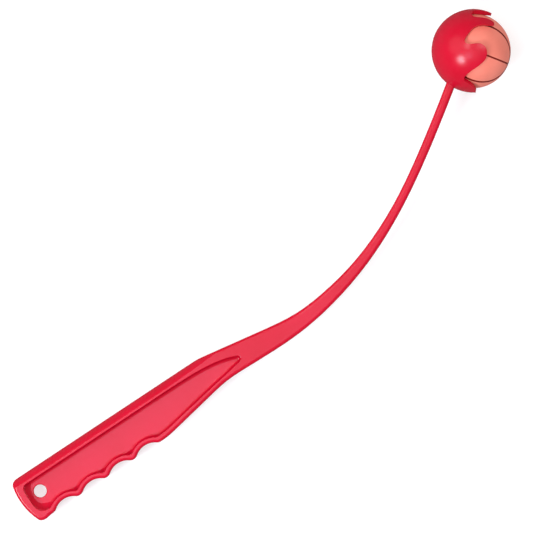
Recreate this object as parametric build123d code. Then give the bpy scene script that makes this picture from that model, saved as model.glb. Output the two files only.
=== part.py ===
from build123d import *
from math import atan, cos, degrees, radians, sin, sqrt, tan
import os

# Dog ball launcher: a stick moulded in one piece, with a finger grip at one end and an
# open cup of six fingers at the other, and a rubber ball seated in the cup.
# Frame: +X runs along the grip from the butt towards the cup, +Y points at the grip's
# straight back edge, and +Z stands square to the flat of the stick. The origin is the
# middle of the hanging hole, on the middle plane of the moulding. Sizes are in mm.

# Ball and its seam lines
ball_radius = 29.0
seam_width = 1.3
seam_depth = 0.6
seam_sink = 0.15
seam_lean = 18.0
seam_turn = -54.4
seam_long_angle = 65.0
seam_short_angle = 49.0

# Cup: its middle ahead of and beside the arm's end, and the heading of its mouth
cup_ahead = 19.465
cup_aside = -6.963
mouth_heading = -44.8
cup_gap = 0.3
cup_wall = 3.2

# The three notches of each face, from the back round to the front. A pair is a point of
# the notch's edge on the cup: how far it lies along the mouth's heading, as a share of
# the cup's radius, and its angle round the mouth from the stick's Z. A notch starts and
# ends in the middle of a fingertip, so neighbours share these points.
back_notch = (
    (0.25, 90.0), (0.249, 87.5), (0.235, 85.0), (0.16, 81.5), (0.05, 78.0), (-0.09, 75.5),
    (-0.175, 73.5), (-0.205, 69.0), (-0.213, 63.0), (-0.2, 57.0), (-0.165, 54.2),
    (-0.06, 53.4), (0.12, 55.2), (0.27, 55.0), (0.335, 53.0), (0.355, 50.8), (0.358, 49.0),
)
upper_notch = (
    (0.358, 49.0), (0.352, 47.2), (0.32, 45.4), (0.21, 43.4), (0.09, 41.0), (-0.05, 36.1),
    (-0.165, 27.2), (-0.235, 18.1), (-0.262, 12.6), (-0.24, 8.8), (-0.165, 7.3),
    (-0.06, 8.4), (0.06, 10.5), (0.16, 10.7), (0.245, 8.5), (0.3, 3.6), (0.322, -0.8),
    (0.325, -4.0),
)
front_notch = (
    (0.325, -4.0), (0.323, -7.0), (0.305, -10.5), (0.262, -14.6), (0.19, -20.0),
    (0.1, -25.6), (0.02, -31.0), (-0.06, -38.0), (-0.092, -43.5), (-0.085, -47.5),
    (-0.05, -50.3), (0.02, -52.4), (0.12, -57.0), (0.19, -62.0), (0.228, -68.0),
    (0.246, -78.0), (0.25, -90.0),
)

# Grip
grip_back = 18.0
grip_front = 19.6
grip_half_depth = 11.0
butt_length = 17.3
butt_middle = 1.0
butt_foot_x = 13.3
butt_foot_y = 17.6
butt_low_x = 7.0
butt_low_y = 20.35
back_corner = 6.0
back_corner_x = 10.4
back_corner_turn = 62.0
first_crest_x = -1.0
crest_pitch = 25.1
crest_count = 4
scallop_depth = 4.3
crest_round = 5.5
hole_radius = 5.0
hole_edge_round = 0.8

# Rims, and the recess in both faces of the grip
flank_width = 6.1
flank_crest_round = 1.5
flank_crest_turn = 36.0
flank_foot_turn = 80.0
edge_round = 2.4
web_half = 2.5
recess_floor_round = 2.4
recess_back = 10.4
recess_crest = 14.9
recess_scallop_depth = 3.7
recess_crest_round = 2.7
recess_butt_x = 10.5
recess_butt_middle = 1.5
recess_corner_x = 7.6
recess_corner_y = 12.6
recess_top_x = 6.0
recess_shoulder_x = 112.0
recess_tip_x = 184.0
recess_tip_y = 0.9
recess_tip_round = 2.3
recess_tip_heading = -24.0
recess_run_heading = 9.9
rim_edge_round = 0.7

# Neck: the straight front run, the shoulder of the back and its taper
run_round = 70.0
run_heading = 10.4
run_end_x = 157.0
bend_round = 110.0
bend_turn = 12.2
shoulder_x = 157.5
shoulder_round = 45.0
taper_heading = 9.5
taper_end_x = 214.0
flat_end_x = 120.0
neck_end_x = 250.0

# Arm: a bowed bar that slims from the neck and runs into the cup
arm_start_x = 243.0
arm_start_y = -1.4
arm_end_x = 448.2
arm_end_y = 93.6
arm_start_heading = 4.0
arm_end_heading = 35.4
arm_start_pull = 80.0
arm_end_pull = 90.0
arm_start_width = 13.6
arm_end_width = 7.1
arm_start_half_depth = 7.2
arm_end_half_depth = 5.6
arm_slim_share = 0.6
arm_shares = (0.0, 0.12, 0.25, 0.4, 0.6, 0.8, 1.0)

# How far a cut runs past the face that it opens
overrun = 3.0


def heading(angle):
    """The unit direction in the middle plane at this angle from the grip's axis."""
    return Vector(cos(radians(angle)), sin(radians(angle)))


def line_to_x(start, direction, x):
    """The point where a ray from start in this direction reaches x."""
    return start + direction * ((x - start.X) / direction.X)


def wave(start, pitch, depth, crest, count):
    """Scallops between rounded crests, as arcs that each start where the last one ends."""
    half_pitch = pitch / 2
    turn = 2 * degrees(atan(depth / half_pitch))
    scallop = half_pitch / sin(radians(turn)) - crest
    for _ in range(count):
        rise = JernArc(start, (1, 0), crest, turn)
        hollow = JernArc(rise @ 1, rise % 1, scallop, -2 * turn)
        start = JernArc(hollow @ 1, hollow % 1, crest, turn) @ 1
    return start


arm_centre = Bezier(
    Vector(arm_start_x, arm_start_y),
    Vector(arm_start_x, arm_start_y) + heading(arm_start_heading) * arm_start_pull,
    Vector(arm_end_x, arm_end_y) - heading(arm_end_heading) * arm_end_pull,
    Vector(arm_end_x, arm_end_y),
)


def beside_arm(share, side):
    """A point on the arm's back edge (side 1) or front edge (side -1)."""
    slim = max(0, 1 - share / arm_slim_share)
    width = arm_end_width + (arm_start_width - arm_end_width) * slim**2
    along = arm_centre % share
    return arm_centre @ share + Vector(-along.Y, along.X) * (width / 2) * side


def stick_outline():
    """The stick seen square to its flat, from the butt round the front to the back."""
    with BuildSketch() as outline:
        with BuildLine():
            back_start = Vector(-back_corner_x, grip_back)
            corner = JernArc(back_start, (-1, 0), back_corner, back_corner_turn)
            butt = ThreePointArc(
                corner @ 1, (-butt_length, butt_middle), (-butt_foot_x, -butt_foot_y)
            )
            first_crest = Vector(first_crest_x, -grip_front)
            low = (-butt_low_x, -butt_low_y)
            Spline([butt @ 1, low, first_crest], tangents=[butt % 1, (1, 0)])
            last_crest = wave(first_crest, crest_pitch, scallop_depth, crest_round, crest_count)
            lift = JernArc(last_crest, (1, 0), run_round, run_heading)
            run = Line(lift @ 1, line_to_x(lift @ 1, lift % 1, run_end_x))
            bend = JernArc(run @ 1, run % 1, bend_round, -bend_turn)
            front = Spline(
                [bend @ 1] + [beside_arm(share, -1) for share in arm_shares],
                tangents=[bend % 1, heading(arm_end_heading)],
            )
            Line(front @ 1, beside_arm(1, 1))
            shoulder_start = shoulder_x - shoulder_round * tan(radians(taper_heading / 2))
            shoulder = JernArc((shoulder_start, grip_back), (1, 0), shoulder_round, -taper_heading)
            taper = Line(shoulder @ 1, line_to_x(shoulder @ 1, shoulder % 1, taper_end_x))
            Spline(
                [taper @ 1] + [beside_arm(share, 1) for share in arm_shares],
                tangents=[taper % 1, heading(arm_end_heading)],
            )
            Line(back_start, shoulder @ 0)
        make_face()
    return outline.sketch


def side_profile():
    """The upper half of the stick seen along Y: a level grip, a neck and a thinner arm."""
    start_x = -butt_length - overrun
    slope = (arm_end_half_depth - arm_start_half_depth) / (arm_end_x - neck_end_x)
    with BuildSketch(Plane.XZ) as profile:
        with BuildLine():
            level = Line((start_x, grip_half_depth), (flat_end_x, grip_half_depth))
            neck = Spline(
                [level @ 1, (neck_end_x, arm_start_half_depth)], tangents=[(1, 0), (1, slope)]
            )
            arm = Line(neck @ 1, (arm_end_x + overrun, arm_end_half_depth + slope * overrun))
            Polyline(arm @ 1, (arm_end_x + overrun, 0), (start_x, 0), level @ 0)
        make_face()
    return profile.sketch


def stick_blank():
    """The stick's upper half without its recess: outline, thickness and rounded rims."""
    outline = extrude(stick_outline(), amount=grip_half_depth + overrun)
    reach = grip_back + grip_front + arm_end_y + arm_start_width
    half = outline & extrude(side_profile(), amount=reach, both=True)
    rims = [
        edge
        for edge in half.edges()
        if min(v.Z for v in edge.vertices()) > arm_end_half_depth / 2
        and edge.center().X < arm_end_x - overrun / 2
    ]
    return fillet(rims, edge_round)


def back_flank():
    """What the broad flank takes off the straight back: a rounded crest, then a slope."""
    crest = Vector(grip_back - flank_width, grip_half_depth)
    crest_sine = sin(radians(flank_crest_turn))
    slope_width = flank_width - flank_crest_round * crest_sine
    slope_round = slope_width / (sin(radians(flank_foot_turn)) - crest_sine)
    with BuildSketch(Plane.YZ.offset(-butt_length - overrun)) as corner:
        with BuildLine():
            top = JernArc(crest, (1, 0), flank_crest_round, -flank_crest_turn)
            turn = flank_foot_turn - flank_crest_turn
            slope = JernArc(top @ 1, top % 1, slope_round, -turn)
            Polyline(
                crest,
                crest + Vector(0, overrun),
                crest + Vector(flank_width + overrun, overrun),
                (grip_back + overrun, (slope @ 1).Y),
                slope @ 1,
            )
        make_face()
    return extrude(corner.sketch, amount=taper_end_x + butt_length + overrun)


def recess_outline():
    """The recess at the grip's face: it follows the rims, and narrows to a round tip."""
    with BuildSketch(Plane.XY.offset(grip_half_depth)) as outline:
        with BuildLine():
            first_crest = Vector(first_crest_x, -recess_crest)
            last_crest = wave(
                first_crest, crest_pitch, recess_scallop_depth, recess_crest_round, crest_count
            )
            lift = JernArc(last_crest, (1, 0), run_round, recess_run_heading)
            tip_middle = Vector(recess_tip_x, recess_tip_y)
            run_side = heading(recess_run_heading - 90)
            top_side = heading(recess_tip_heading + 90)
            run_end = tip_middle + run_side * recess_tip_round
            top_end = tip_middle + top_side * recess_tip_round
            Spline([lift @ 1, run_end], tangents=[lift % 1, heading(recess_run_heading)])
            ThreePointArc(
                run_end,
                tip_middle + (run_side + top_side).normalized() * recess_tip_round,
                top_end,
            )
            shoulder = Vector(recess_shoulder_x, recess_back)
            Spline([top_end, shoulder], tangents=[-heading(recess_tip_heading), (-1, 0)])
            top = Line(shoulder, (-recess_top_x, recess_back))
            butt_top = Vector(-recess_butt_x, recess_butt_middle)
            corner = Vector(-recess_corner_x, -recess_corner_y)
            Spline([top @ 1, butt_top], tangents=[(-1, 0), (0, -1)])
            Spline([butt_top, corner, first_crest], tangents=[(0, -1), (1, 0)])
        make_face()
    return outline.sketch


def cut_recess(half):
    """The upper half with its recess, rounded at the floor and softened at the rim."""
    depth = grip_half_depth - web_half
    cut = half - extrude(recess_outline(), amount=-depth)
    made = new_edges(half, combined=cut)
    floor = made.filter_by(lambda edge: edge.bounding_box().max.Z < web_half + depth / 100)
    cut = fillet(floor, recess_floor_round)
    rim_low = web_half + recess_floor_round + overrun / 2
    walls = [edge for edge in made if edge.bounding_box().min.Z > rim_low]
    rims = [edge for edge in cut.edges() if is_any_of(edge, walls)]
    return fillet(rims, rim_edge_round)


def is_any_of(edge, others):
    """Whether an edge still lies where one of these edges lay."""
    return any((edge @ 0.5 - other @ 0.5).length < rim_edge_round / 10 for other in others)


def cup_middle():
    """The middle of the cup and the ball, set off from the end of the arm."""
    ahead = heading(arm_end_heading) * cup_ahead
    aside = heading(arm_end_heading + 90) * cup_aside
    return Vector(arm_end_x, arm_end_y) + ahead + aside


def cup_place():
    """Where the cup stands: its own X runs out of the mouth, its own Z is the stick's Z."""
    out = heading(mouth_heading)
    return Location(Plane(origin=cup_middle(), x_dir=out, z_dir=(0, 0, 1)))


def cut_notch(edge, outer_radius):
    """What one notch takes out, square to the cup's wall, and what lies beyond its mouth."""
    middle = radians((edge[0][1] + edge[-1][1]) / 2)
    square_to_wall = Plane(origin=(0, 0, 0), x_dir=(1, 0, 0), z_dir=(0, sin(middle), cos(middle)))
    points = [
        Vector(share, sqrt(1 - share**2) * sin(radians(angle) - middle)) * outer_radius
        for share, angle in edge
    ]
    beyond = outer_radius + overrun
    with BuildSketch(square_to_wall) as notch:
        with BuildLine():
            line = Spline(points)
            Polyline(line @ 1, (beyond, (line @ 1).Y), (beyond, (line @ 0).Y), line @ 0)
        make_face()
    return extrude(notch.sketch, amount=beyond)


def make_cup():
    """A bowl round the ball's inner half, with straight fingers past the ball's widest ring."""
    inner_radius = ball_radius + cup_gap
    outer_radius = inner_radius + cup_wall
    bore = extrude(Plane.YZ * Circle(inner_radius), amount=outer_radius)
    # Half a turn puts the seam where a sphere's face meets itself at the back of the bowl,
    # away from the fingers and the arm.
    shell = Rot(Z=180) * (Sphere(outer_radius) - Sphere(inner_radius)) - bore
    for edge in (back_notch, upper_notch, front_notch):
        notch = cut_notch(edge, outer_radius)
        shell = shell - notch - mirror(notch, about=Plane.XY)
    return shell


def make_launcher():
    """The whole moulding: grip, neck and arm as two mirrored halves, and the cup."""
    half = cut_recess(stick_blank() - back_flank())
    half -= Cylinder(hole_radius, 2 * (web_half + overrun))
    hole_edges = [
        edge
        for edge in half.edges().filter_by(GeomType.CIRCLE)
        if edge.radius == hole_radius and edge.center().Z > web_half / 2
    ]
    half = fillet(hole_edges, hole_edge_round)
    stick = half + mirror(half, about=Plane.XY)
    place = cup_place()
    stick -= place * Sphere(ball_radius + cup_gap + cup_wall / 2)
    return stick + place * make_cup()


def seam_net():
    """The ball's seam lines before they are cut to depth, around its own middle."""
    reach = 2 * (ball_radius + overrun)
    across = Box(reach, seam_width, reach)
    level = Box(reach, reach, seam_width)
    long_axis = ball_radius * sin(radians(seam_long_angle))
    short_axis = ball_radius * sin(radians(seam_short_angle))
    loop = Ellipse(long_axis + seam_width / 2, short_axis + seam_width / 2)
    loop -= Ellipse(long_axis - seam_width / 2, short_axis - seam_width / 2)
    loops = extrude(loop, amount=reach / 2, both=True)
    return across + level + loops


def ball_place():
    """The ball's pole leans from the stick's Z towards its longer seam loops."""
    lean = radians(seam_lean)
    long_way = heading(seam_turn)
    pole = Vector(long_way.X * sin(lean), long_way.Y * sin(lean), cos(lean))
    side = Vector(-long_way.Y, long_way.X)
    return Location(Plane(origin=cup_middle(), x_dir=side.cross(pole), z_dir=pole))


def make_ball_and_seams():
    net = seam_net()
    groove = net - Sphere(ball_radius - seam_depth)
    ball = Sphere(ball_radius) - groove
    seams = net & (Sphere(ball_radius - seam_sink) - Sphere(ball_radius - seam_depth))
    place = ball_place()
    return place * ball, place * seams


os.makedirs("parts", exist_ok=True)
launcher = make_launcher()
ball, ball_seams = make_ball_and_seams()
export_step(launcher, "parts/launcher.step")
export_step(ball, "parts/ball.step")
export_step(ball_seams, "parts/ball_seams.step")
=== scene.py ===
# %% [markdown]
# # Dog ball launcher stick
# A red moulded stick with a finger grip, a bowed arm and a fingered cup, and a rubber
# ball in the cup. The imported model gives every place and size, in metres. +X runs along
# the grip towards the cup, +Y points at the grip's straight back, +Z out of the flat.

import math

import bmesh
import bpy
from mathutils import Matrix, Vector


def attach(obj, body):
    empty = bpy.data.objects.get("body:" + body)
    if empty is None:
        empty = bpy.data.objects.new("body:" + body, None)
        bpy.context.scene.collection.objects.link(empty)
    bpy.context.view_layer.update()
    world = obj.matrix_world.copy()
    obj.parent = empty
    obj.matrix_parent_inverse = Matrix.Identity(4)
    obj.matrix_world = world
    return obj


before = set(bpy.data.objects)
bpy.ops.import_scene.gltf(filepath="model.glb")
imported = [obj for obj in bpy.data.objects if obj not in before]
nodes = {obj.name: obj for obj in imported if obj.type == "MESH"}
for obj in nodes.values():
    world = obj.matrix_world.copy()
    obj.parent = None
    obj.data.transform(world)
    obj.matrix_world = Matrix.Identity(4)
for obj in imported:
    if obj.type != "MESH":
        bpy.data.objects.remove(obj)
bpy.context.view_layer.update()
print("nodes", ", ".join(sorted(nodes)))

# %% [markdown]
# ## Camera
# The photograph looks straight down on the flat of the stick, with the grip climbing to
# the right. The camera could be set by eye, but the stick's scale and turn in the picture
# are measured, and the hanging hole is the frame's origin, so its place follows from
# those. The real camera probably stood nearer. This one has a very long lens and stands
# far off, so that what stands high on the cup falls where it was measured.

# %% Measures of the picture
# The lens and the sensor are in millimetres.
photo_size = 540
metres_per_pixel = 0.775e-3
photo_turn = math.radians(33.5)
hole_pixel = (40.3, 490.9)
lens_length = 1000
sensor_width = 36


def flat_vector(right, up):
    """A direction in the flat of the stick from its parts along the picture's sides."""
    cos, sin = math.cos(photo_turn), math.sin(photo_turn)
    return Vector((right * cos + up * sin, -right * sin + up * cos, 0))


def point_at_pixel(pixel_x, pixel_y):
    """The point on the stick's middle plane that the photograph shows at this pixel."""
    right = (pixel_x - hole_pixel[0]) * metres_per_pixel
    up = (hole_pixel[1] - pixel_y) * metres_per_pixel
    return flat_vector(right, up)


picture_middle = point_at_pixel(photo_size / 2, photo_size / 2)
print("the picture's middle is", tuple(round(side, 4) for side in picture_middle.xy))

# %% Camera
# How far the camera sees, in times its own distance.
sight = 4


def make_camera():
    """A camera straight above the picture's middle, turned as the photograph is."""
    data = bpy.data.cameras.new("camera")
    data.lens = lens_length
    data.sensor_width = sensor_width
    distance = photo_size * metres_per_pixel * lens_length / sensor_width
    data.clip_end = distance * sight
    camera = bpy.data.objects.new("camera", data)
    bpy.context.scene.collection.objects.link(camera)
    right, up = flat_vector(1, 0), flat_vector(0, 1)
    turn = Matrix((right, up, right.cross(up))).transposed()
    above = Matrix.Translation(picture_middle + Vector((0, 0, distance)))
    camera.matrix_world = above @ turn.to_4x4()
    print("camera", round(distance, 2), "metres above the stick")
    return camera


bpy.context.scene.camera = make_camera()

# %% [markdown]
# ## Floor
# The stick lies on its side on a white table. The cup is wider than the grip is thick,
# so the stick rests on the cup's round underside and on the butt's lower edge, and its
# middle plane leans a little to the table. The stick keeps its own frame here, so the
# floor takes the lean. One square grid, turned about its middle and moved under the
# butt, is all a floor needs.

# %% Floor
floor_size = 8.0
butt_edge = Vector((-0.015, 0, -0.011))
cup_middle = Vector((0.4681, 0.0992, 0))
cup_radius = 0.0325


def floor_lean():
    """How far the floor dips towards the cup, so that it touches the butt and the cup."""
    run = cup_middle.x - butt_edge.x
    rise = cup_middle.z - butt_edge.z
    return math.asin(cup_radius / math.hypot(run, rise)) - math.atan2(rise, run)


def make_floor():
    table = bmesh.new()
    bmesh.ops.create_grid(table, x_segments=1, y_segments=1, size=floor_size / 2)
    lean = Matrix.Rotation(floor_lean(), 4, "Y")
    under_butt = Matrix.Translation(butt_edge)
    bmesh.ops.transform(table, matrix=under_butt @ lean, verts=table.verts)
    mesh = bpy.data.meshes.new("table_top")
    table.to_mesh(mesh)
    table.free()
    floor = bpy.data.objects.new("table_top", mesh)
    bpy.context.scene.collection.objects.link(floor)
    return floor


floor = make_floor()
print("floor leans by", round(math.degrees(floor_lean()), 2), "degrees")

# %% [markdown]
# ## Lamps
# A glossy red moulding shows mostly the mirror image of its lamps. Spot or sun lamps would
# leave hard points and shadows, and the photograph has neither, so all its lamps are round
# panels of even brightness. The soft panel overhead lights the whole stick. The grip
# panel, smaller and a little blue, gives the grip's flats their pale bloom, which fades
# along the arm. The key lamp, beyond the butt, gives the round highlight on the cup.
# The edge disc draws a thin light line along the rounded edges. The side panel, towards
# the picture's upper right, lights the walls of the recess, and the wide left panel puts
# a weak sheen on the flanks that face it.

# %% Lamp helper
def picture_direction(right, up, out):
    """A direction from its parts along the picture's sides and out of the picture."""
    return (flat_vector(right, up) + Vector((0, 0, out))).normalized()


def make_lamp(name, target, toward, distance, radius, radiance, color=(1, 1, 1)):
    """A round panel that stands off from its target in a direction and faces it."""
    data = bpy.data.lights.new(name, "AREA")
    data.shape = "DISK"
    data.size = radius * 2
    data.energy = radiance * (math.pi * radius) ** 2
    data.color = color
    lamp = bpy.data.objects.new(name, data)
    bpy.context.scene.collection.objects.link(lamp)
    lamp.rotation_mode = "QUATERNION"
    lamp.rotation_quaternion = toward.to_track_quat("Z", "Y")
    lamp.location = target + toward * distance
    print(name, "gives", round(data.energy, 1), "watts")
    return lamp


# %% Lamps
grip_middle = Vector((0.06, 0, 0))
overhead = Vector((0, 0, 1))
by_the_grip = picture_direction(-0.525, -0.363, 0.771)
by_the_cup = picture_direction(0.45, 0.37, 0.8)
above_the_edges = picture_direction(-0.25, 0.35, 1)
to_the_left = picture_direction(-0.7, 0.3, 0.6)
cool_white = (0.85, 1, 1.1)
bluish_white = (0.85, 0.9, 1.3)

make_lamp("soft_panel", picture_middle, overhead, distance=1.6, radius=0.75, radiance=0.8)
make_lamp(
    "grip_panel", grip_middle, overhead, distance=1.2, radius=0.22, radiance=2.8,
    color=bluish_white,
)
make_lamp(
    "key_lamp", picture_middle, by_the_grip, distance=2.4, radius=0.41, radiance=27,
    color=cool_white,
)
make_lamp("edge_disc", picture_middle, above_the_edges, distance=2.4, radius=0.34, radiance=7)
make_lamp("side_panel", picture_middle, by_the_cup, distance=2.4, radius=0.6, radiance=5)
make_lamp("left_panel", picture_middle, to_the_left, distance=2.4, radius=1, radiance=1.2)

# %% [markdown]
# ## Room
# A light tent is brightest overhead and dims down to the table's edge. An even grey world
# would be simpler, but the round flanks would mirror it and turn pale. So the room's light
# follows the height of each ray: hollows get soft light from above, while the flanks
# mirror the dim part and stay deep red. The Standard view transform shows the colours as
# they are set, where a filmic one would grey the white.

# %% Room
horizon_light = 0.16
overhead_light = 0.4


def make_room():
    """White light that grows from the horizon to straight overhead."""
    room = bpy.data.worlds.new("room")
    room.use_nodes = True
    net = room.node_tree
    ray = net.nodes.new("ShaderNodeTexCoord")
    height = net.nodes.new("ShaderNodeSeparateXYZ")
    rise = net.nodes.new("ShaderNodeMapRange")
    rise.inputs["To Min"].default_value = horizon_light
    rise.inputs["To Max"].default_value = overhead_light
    net.links.new(ray.outputs["Generated"], height.inputs["Vector"])
    net.links.new(height.outputs["Z"], rise.inputs["Value"])
    net.links.new(rise.outputs["Result"], net.nodes["Background"].inputs["Strength"])
    net.nodes["Background"].inputs["Color"].default_value = (1, 1, 1, 1)
    return room


bpy.context.scene.world = make_room()
bpy.context.scene.view_settings.view_transform = "Standard"
print("room light from", horizon_light, "at the horizon to", overhead_light, "overhead")

# %% [markdown]
# ## Finishes
# A finish here is a small net of nodes. A picture of the surface would have to be wrapped
# round the piece. Noise on Object coordinates stands still on the piece and needs no
# wrapping. Each finish of the object has two noises: a broad one that drifts the colour as
# pigment does in a moulding, and a fine one for the skin of the surface. Noise keeps near
# its middle value, so the helpers stretch only the band where most of it lies.

# %% Node helpers
tint_band = (0.35, 0.65)
spread_band = (0.3, 0.7)


def new_finish(name):
    """An empty finish, its net, its shader and the piece's own coordinates."""
    finish = bpy.data.materials.new(name)
    finish.use_nodes = True
    net = finish.node_tree
    shader = net.nodes["Principled BSDF"]
    place = net.nodes.new("ShaderNodeTexCoord")
    return finish, net, shader, place.outputs["Object"]


def noise(net, place, scale, detail=3.0, roughness=0.5):
    grain = net.nodes.new("ShaderNodeTexNoise")
    grain.inputs["Scale"].default_value = scale
    grain.inputs["Detail"].default_value = detail
    grain.inputs["Roughness"].default_value = roughness
    net.links.new(place, grain.inputs["Vector"])
    return grain.outputs["Fac"]


def tint(net, fac, low, high):
    """Turns a noise into a drift between two colours."""
    ramp = net.nodes.new("ShaderNodeValToRGB")
    for stop, position, color in zip(ramp.color_ramp.elements, tint_band, (low, high)):
        stop.position = position
        stop.color = (*color, 1)
    net.links.new(fac, ramp.inputs["Fac"])
    return ramp.outputs["Color"]


def spread(net, fac, low, high):
    """Turns a noise into a number that wanders between two values."""
    span = net.nodes.new("ShaderNodeMapRange")
    span.inputs["From Min"].default_value = spread_band[0]
    span.inputs["From Max"].default_value = spread_band[1]
    span.inputs["To Min"].default_value = low
    span.inputs["To Max"].default_value = high
    net.links.new(fac, span.inputs["Value"])
    return span.outputs["Result"]


def relief(net, shader, height, strength, distance):
    """Turns a noise into fine bumps that only the light sees."""
    bump = net.nodes.new("ShaderNodeBump")
    bump.inputs["Strength"].default_value = strength
    bump.inputs["Distance"].default_value = distance
    net.links.new(height, bump.inputs["Height"])
    net.links.new(bump.outputs["Normal"], shader.inputs["Normal"])


# %% [markdown]
# ### Red plastic
# The stick is a tough, slightly glossy moulding in a strong pinkish red. Fine bumps could
# give it a grained skin, but the photograph shows a smooth one. So the colour drifts a
# little, as pigment does, and the gloss is a little uneven, as on plastic that is handled.

# %% Red plastic
deep_red = (0.52, 0.0025, 0.019)
bright_red = (0.55, 0.003, 0.023)


def make_red_plastic():
    finish, net, shader, place = new_finish("red_plastic_finish")
    cloud = noise(net, place, scale=35)
    net.links.new(tint(net, cloud, deep_red, bright_red), shader.inputs["Base Color"])
    skin = noise(net, place, scale=420, detail=4)
    net.links.new(spread(net, skin, low=0.24, high=0.27), shader.inputs["Roughness"])
    shader.inputs["IOR"].default_value = 1.35
    return finish


red_plastic = make_red_plastic()
print(red_plastic.name, "has", len(red_plastic.node_tree.nodes), "nodes")

# %% [markdown]
# ### Ball rubber
# The ball is a soft salmon rubber with a dull bloom. An even dull finish would look like
# chalk, so a fine grain of low bumps breaks up its broad reflections.

# %% Ball rubber
deep_salmon = (0.82, 0.205, 0.145)
pale_salmon = (0.87, 0.23, 0.165)


def make_ball_rubber():
    finish, net, shader, place = new_finish("ball_rubber_finish")
    cloud = noise(net, place, scale=60)
    net.links.new(tint(net, cloud, deep_salmon, pale_salmon), shader.inputs["Base Color"])
    grain = noise(net, place, scale=900, detail=5, roughness=0.6)
    net.links.new(spread(net, grain, low=0.45, high=0.62), shader.inputs["Roughness"])
    relief(net, shader, grain, strength=0.15, distance=0.0004)
    shader.inputs["IOR"].default_value = 1.35
    return finish


ball_rubber = make_ball_rubber()
print(ball_rubber.name, "has", len(ball_rubber.node_tree.nodes), "nodes")

# %% [markdown]
# ### Seam rubber
# The seams are a dark red-brown rubber laid into the ball's grooves. They could be painted
# on the ball, but they are a piece of their own, so they get a finish of their own, with a
# finer grain and less shine than the ball's.

# %% Seam rubber
deep_brown = (0.15, 0.006, 0.004)
warm_brown = (0.19, 0.008, 0.005)


def make_seam_rubber():
    finish, net, shader, place = new_finish("seam_rubber_finish")
    cloud = noise(net, place, scale=150)
    net.links.new(tint(net, cloud, deep_brown, warm_brown), shader.inputs["Base Color"])
    grain = noise(net, place, scale=1400, detail=4)
    net.links.new(spread(net, grain, low=0.5, high=0.7), shader.inputs["Roughness"])
    relief(net, shader, grain, strength=0.2, distance=0.0003)
    shader.inputs["IOR"].default_value = 1.2
    return finish


seam_rubber = make_seam_rubber()
print(seam_rubber.name, "has", len(seam_rubber.node_tree.nodes), "nodes")

# %% [markdown]
# ### Dress the nodes
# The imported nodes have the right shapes, so none is replaced. Each keeps its mesh and its
# slots, and only the finish in a slot changes.

# %% Dress the nodes
def dress(node, finish):
    slots = nodes[node].material_slots
    for slot in slots:
        slot.material = finish
    print(node, "wears", finish.name, "in", len(slots), "slot")


dress("launcher", red_plastic)
dress("ball", ball_rubber)
dress("ball_seams", seam_rubber)

# %% [markdown]
# ## Cove of the recess
# At the butt the floor of the real recess sweeps up to its wall in a broad cove, which
# shows as a deep red crescent beside the hanging hole, and a narrower one runs on behind
# the finger scallops. The solid has a plain small round there. The cove could be carved
# into the launcher's mesh, but a thin curved sheet laid into the corner leaves that mesh
# alone: a grid is bent between two lines, its top on the wall and its foot on the floor.
#
# The top has to lie on the wall all along, so it is read from the launcher. A level plane
# cuts a copy of the mesh, which leaves the edges of a section, and a walk both ways from
# the butt along those edges meets the wall's points.

# %% Cut through the launcher
cove_top = 0.006
same_point = 1e-6
on_the_plane = 1e-7
same_crossing = 2e-5


def cut_at(height):
    """The launcher's section at one height, as a mesh of edges."""
    section = bmesh.new()
    section.from_mesh(nodes["launcher"].data)
    bmesh.ops.remove_doubles(section, verts=section.verts, dist=same_point)
    everything = section.verts[:] + section.edges[:] + section.faces[:]
    bmesh.ops.bisect_plane(
        section, geom=everything, dist=on_the_plane, plane_co=(0, 0, height),
        plane_no=(0, 0, 1), clear_inner=True, clear_outer=True,
    )
    bmesh.ops.remove_doubles(section, verts=section.verts, dist=same_crossing)
    return section


def walk(start, edge, length):
    """The points met along a chain of edges, up to a length."""
    points, here, gone = [], start, 0
    while edge and gone < length:
        here = edge.other_vert(here)
        gone += edge.calc_length()
        points.append(here.co.copy())
        onward = [other for other in here.link_edges if other is not edge]
        edge = onward[0] if onward else None
    return points


# %% Line of the wall
butt_wall = Vector((-0.0105, 0.0015, cove_top))
wall_length = 0.14


def wall_line():
    """The recess's wall round the butt, from the back to the front."""
    section = cut_at(cove_top)
    start = min(section.verts, key=lambda vert: (vert.co - butt_wall).length)
    middle = start.co.copy()
    ways = [walk(start, edge, wall_length) for edge in start.link_edges]
    section.free()
    back, front = sorted(ways, key=lambda way: way[len(way) // 2].y, reverse=True)
    return back[::-1] + [middle] + front


wall = wall_line()
print("the wall has", len(wall), "points")

# %% [markdown]
# Two helpers treat a line of points: one spaces the points evenly, so that the top and
# the foot pair up, and one rounds the line's corners, as smoothing does for a mesh.

# %% Line helpers
def spaced(points, count):
    """The same line with its points evenly spaced."""
    lengths = [(after - before).length for before, after in zip(points, points[1:])]
    line, gone, index = [], 0, 0
    for step in range(count):
        goal = sum(lengths) * step / (count - 1)
        while index < len(lengths) - 1 and gone + lengths[index] < goal:
            gone += lengths[index]
            index += 1
        line.append(points[index].lerp(points[index + 1], (goal - gone) / lengths[index]))
    return line


def softened(points, rounds):
    """The line with its corners rounded, each point drawn towards its neighbours."""
    for _ in range(rounds):
        middle = [(a + b * 2 + c) / 4 for a, b, c in zip(points, points[1:], points[2:])]
        points = [points[0]] + middle + [points[-1]]
    return points


# %% [markdown]
# Round the butt the cove's foot is the inner edge of the deep red crescent, set by a few
# points that follow the photograph. The top starts level with the first of them.

# %% Cove round the butt
mm = 0.001
recess_floor = 0.0025
butt_steps = 60
butt_rounds = 12
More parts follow.
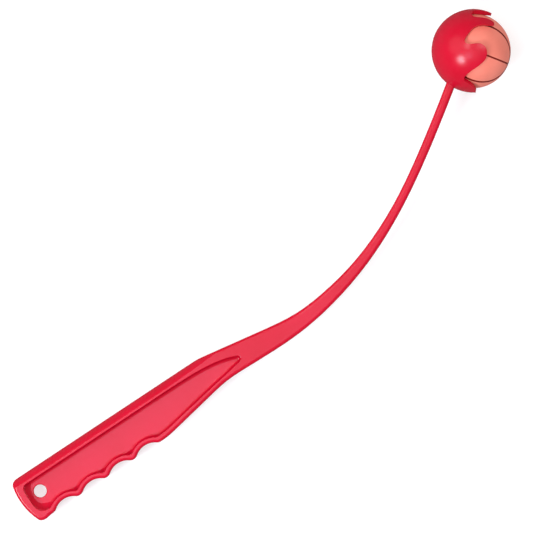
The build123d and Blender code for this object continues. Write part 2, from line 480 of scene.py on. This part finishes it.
# The foot's points, in millimetres along and across the grip.
foot_marks = (
    (-1.5, 10.1), (-3.6, 7.6), (-5.5, 4.3), (-6.3, 1.2), (-6.7, -2.0), (-6.5, -5.2),
    (-5.2, -7.9), (-2.4, -9.6), (0.8, -10.7), (3.4, -11.6), (5.7, -12.1),
)
marks = [Vector((x * mm, y * mm, recess_floor)) for x, y in foot_marks]
corner = min(range(len(wall)), key=lambda index: (wall[index].xy - marks[-1].xy).length)


def butt_lines():
    """The cove's top and foot round the butt, from the back to the front corner."""
    start = marks[0].x
    top = [Vector((start, wall[1].y, cove_top))]
    top += [point for point in wall[1:corner + 1] if point.x < start or point.y < 0]
    return spaced(top, butt_steps), softened(spaced(marks, butt_steps), butt_rounds)


butt_top, butt_foot = butt_lines()
butt_width = max((high - low).xy.length for high, low in zip(butt_top, butt_foot))
print("the cove is", round(butt_width / mm, 1), "mm wide at the butt")

# %% [markdown]
# Behind the finger scallops the foot is the wall's own line, softened until it cuts the
# corners between the scallops, and drawn in a little. So the cove is widest at the
# corners and closes up behind each scallop. At both ends the drawing in fades out.

# %% Cove behind the scallops
last_scallop_end = 0.118
front_steps = 220
front_rounds = 140
drawn_in = 0.0016
least_gap = 0.0001
fade_in_steps = 25
fade_out_steps = 40


def scallop_lines():
    """The cove's top and foot from the front corner past the last scallop."""
    ahead = range(corner + 1, len(wall))
    far_end = max(index for index in ahead if wall[index].x < last_scallop_end)
    top = spaced(wall[corner:far_end + 1], front_steps)
    foot = softened([point.copy() for point in top], front_rounds)
    for index, (high, low) in enumerate(zip(top, foot)):
        to_go = front_steps - 1 - index
        fade = min(1, index / fade_in_steps, to_go / fade_out_steps)
        low.y = max(low.y + drawn_in * fade, high.y + least_gap)
    return top, foot


front_top, front_foot = scallop_lines()
front_width = max((high - low).xy.length for high, low in zip(front_top, front_foot))
print("the cove is", round(front_width / mm, 1), "mm wide at the scallops")

# %% [markdown]
# The grid's own corners run from -1 to 1, so a vertex says by its place how far it lies
# along the cove and how high up the slope. The sheet's top starts a little inside the
# wall and its foot ends just under the floor, so no edge of it shows. The extrusion gives
# it a thickness downwards, out of sight, and the mirror makes the lower face's cove.

# %% Recess cove
slope_steps = 8
slope_curve = 1.2
steepest = 1.3
into_the_wall = 0.0003
under_the_floor = 0.0001
sheet_thickness = 0.0009
tops = butt_top + front_top[1:]
lows = butt_foot + front_foot[1:]


def on_the_slope(along, climb):
    """The cove's point at a share of its length and a share of its slope's width."""
    index = round(along * (len(tops) - 1))
    gap = (tops[index] - lows[index]).xy
    rise = min(cove_top - recess_floor, gap.length * steepest) * climb ** slope_curve
    place = lows[index].xy + gap * climb + gap.normalized() * into_the_wall * climb
    return (*place, recess_floor - under_the_floor + rise)


def make_cove():
    cove = bmesh.new()
    bmesh.ops.create_grid(cove, x_segments=len(tops) - 1, y_segments=slope_steps, size=1)
    for vert in cove.verts:
        vert.co = on_the_slope((vert.co.x + 1) / 2, (1 - vert.co.y) / 2)
    under = bmesh.ops.extrude_face_region(cove, geom=cove.faces[:])
    sunk = [item for item in under["geom"] if isinstance(item, bmesh.types.BMVert)]
    bmesh.ops.translate(cove, vec=(0, 0, -sheet_thickness), verts=sunk)
    everything = cove.verts[:] + cove.edges[:] + cove.faces[:]
    bmesh.ops.mirror(cove, geom=everything, axis="Z", merge_dist=0)
    bmesh.ops.recalc_face_normals(cove, faces=cove.faces)
    for face in cove.faces:
        face.smooth = True
    mesh = bpy.data.meshes.new("recess_cove")
    cove.to_mesh(mesh)
    cove.free()
    return bpy.data.objects.new("recess_cove", mesh)


recess_cove = make_cove()
bpy.context.scene.collection.objects.link(recess_cove)
recess_cove.data.materials.append(red_plastic)
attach(recess_cove, "launcher")
print("recess cove has", len(recess_cove.data.polygons), "faces")

# %% [markdown]
# ## White table
# The photograph's background is cut out to pure white. A white top alone would come out
# grey under these lamps, and brighter lamps would wash out the red. So the top also glows
# a little by itself: it comes out white and still takes the soft shadow under the stick.
# The plastic's gloss doesn't mirror it, as it doesn't in the photograph.

# %% White table
pale_grey = (0.39, 0.39, 0.39)
paler_grey = (0.41, 0.41, 0.41)


def make_table_white():
    finish, net, shader, place = new_finish("table_white")
    cloud = noise(net, place, scale=3)
    net.links.new(tint(net, cloud, pale_grey, paler_grey), shader.inputs["Base Color"])
    shader.inputs["Roughness"].default_value = 0.7
    shader.inputs["Emission Color"].default_value = (1, 1, 1, 1)
    shader.inputs["Emission Strength"].default_value = 0.64
    return finish


floor.data.materials.append(make_table_white())
floor.visible_glossy = False
print("the floor wears", floor.data.materials[0].name)
